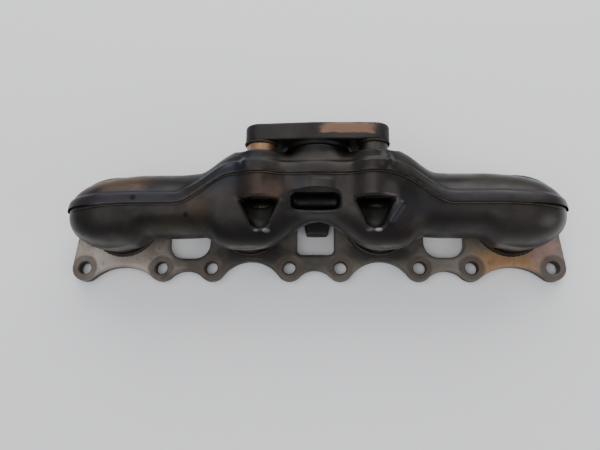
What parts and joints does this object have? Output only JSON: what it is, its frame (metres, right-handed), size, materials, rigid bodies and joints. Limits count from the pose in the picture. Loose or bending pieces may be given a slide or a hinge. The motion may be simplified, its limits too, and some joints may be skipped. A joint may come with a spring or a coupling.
{
  "type": "exhaust manifold",
  "caption": "Air-gap insulated exhaust manifold: scalloped head flange, two pressed outer shells, inner gas liners and a lugged turbo flange on bolt sleeves.",
  "frame": {"origin": "cylinder-head face of the head flange, on the port line, midway between ports 2 and 3", "axes": "+X along the row of ports, +Y towards the turbocharger flange, +Z away from the cylinder head"},
  "size_m": [0.3582, 0.0961, 0.078],
  "materials": {
    "flange_steel": "oxidised steel plate, straw to rust brown",
    "shell_steel": "heat-stained pressed stainless sheet, dark brown with purple and straw tints, satin",
    "liner_steel": "scaled stainless sheet with dull soot",
    "turbo_flange_steel": "dark oxidised machined steel, with one ground rust-orange patch",
    "sleeve_copper_tint": "heat-tinted orange steel tube",
    "sleeve_steel": "dark oxidised steel tube",
    "weld_metal": "rippled oxidised weld bead"
  },
  "bodies": {
    "root": {"head_flange": "flange_steel", "shell_lower": "shell_steel", "shell_upper": "shell_steel", "runner_liner_1": "liner_steel", "runner_liner_4": "liner_steel", "port_liner_2": "liner_steel", "port_liner_3": "liner_steel", "collector_liner_bottom": "liner_steel", "collector_liner_top": "liner_steel", "outlet_liner": "liner_steel", "turbo_flange": "turbo_flange_steel", "bolt_sleeve_left": "sleeve_copper_tint", "bolt_sleeve_right": "sleeve_steel", "bolt_sleeve_lower": "sleeve_steel", "collar_weld_1": "weld_metal", "collar_weld_2": "weld_metal", "collar_weld_3": "weld_metal", "collar_weld_4": "weld_metal", "liner_weld_1": "weld_metal", "liner_weld_2": "weld_metal", "liner_weld_3": "weld_metal", "liner_weld_4": "weld_metal", "outlet_weld": "weld_metal", "sleeve_weld_left": "weld_metal", "sleeve_weld_right": "weld_metal", "sleeve_weld_lower": "weld_metal", "seam_weld": "weld_metal"}
  },
  "joints": []
}
